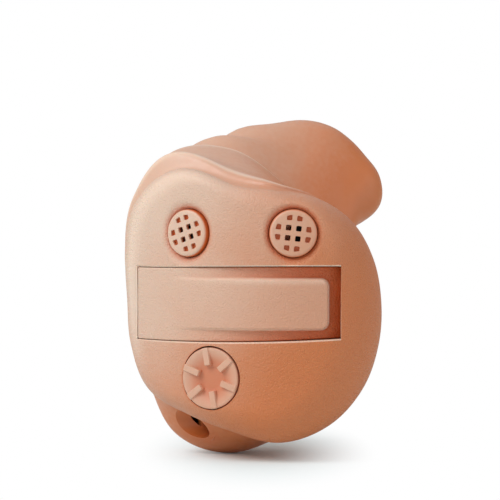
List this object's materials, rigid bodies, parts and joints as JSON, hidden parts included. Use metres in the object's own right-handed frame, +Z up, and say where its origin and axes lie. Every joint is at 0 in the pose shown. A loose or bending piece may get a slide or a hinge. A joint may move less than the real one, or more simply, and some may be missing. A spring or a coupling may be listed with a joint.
{
  "type": "in-the-canal hearing aid",
  "caption": "Custom in-the-canal hearing aid: moulded skin-toned shell and canal tip, hinged battery drawer, ribbed volume control, pierced microphone covers and a vent.",
  "frame": {"origin": "under the middle of the body, at the height of its lowest point", "axes": "+X across the face to the hearing aid's free door end, +Y from the faceplate into the ear canal, +Z up as worn and pictured"},
  "size_m": [0.0158, 0.02, 0.0202],
  "materials": {
    "skin": "moulded acrylic, satin, fine grain on the face",
    "grille": "moulded, satin",
    "knob": "moulded, satin, paler than the face",
    "housing": "moulded, plain",
    "steel": "drawn, plain",
    "cell_steel": "nickel plated",
    "gold": "gold flashed spring",
    "nylon": "natural",
    "rubber": "moulded",
    "black_plastic": "moulded",
    "board": "solder mask over fibreglass",
    "ceramic": "fired",
    "copper": "enamelled wire",
    "clear_tube": "flexible tubing"
  },
  "bodies": {
    "case": {"shell": "skin", "faceplate": "skin", "battery_bay": "housing", "hinge_pin": "steel", "positive_contact": "gold", "negative_contact": "gold", "front_mic_cover": "grille", "rear_mic_cover": "grille", "front_mic": "steel", "rear_mic": "steel", "front_mic_gasket": "rubber", "rear_mic_gasket": "rubber", "volume_control": "black_plastic", "volume_terminals": "gold", "amplifier_board": "board", "signal_chip": "black_plastic", "capacitors": "ceramic", "telecoil_core": "black_plastic", "telecoil_winding": "copper", "receiver": "steel", "receiver_boot": "rubber", "receiver_tube": "clear_tube", "wax_guard": "nylon", "vent_tube": "clear_tube"},
    "door": {"battery_door": "skin", "battery_can": "cell_steel", "battery_seal": "nylon", "battery_cap": "cell_steel"},
    "knob": {"volume_knob": "knob", "knob_spindle": "steel"}
  },
  "joints": [
    {"name": "door_hinge", "type": "hinge", "parent": "case", "child": "door", "pos_m": [-0.00586, -0.00517, 0.00926], "axis": [0, 0, -1], "range_deg": [0, 78]},
    {"name": "volume_turn", "type": "hinge", "parent": "case", "child": "knob", "pos_m": [-0.00273, -0.00883, 0.00487], "axis": [-0.4393, -0.8984, 0], "range_deg": [-135, 135]}
  ]
}
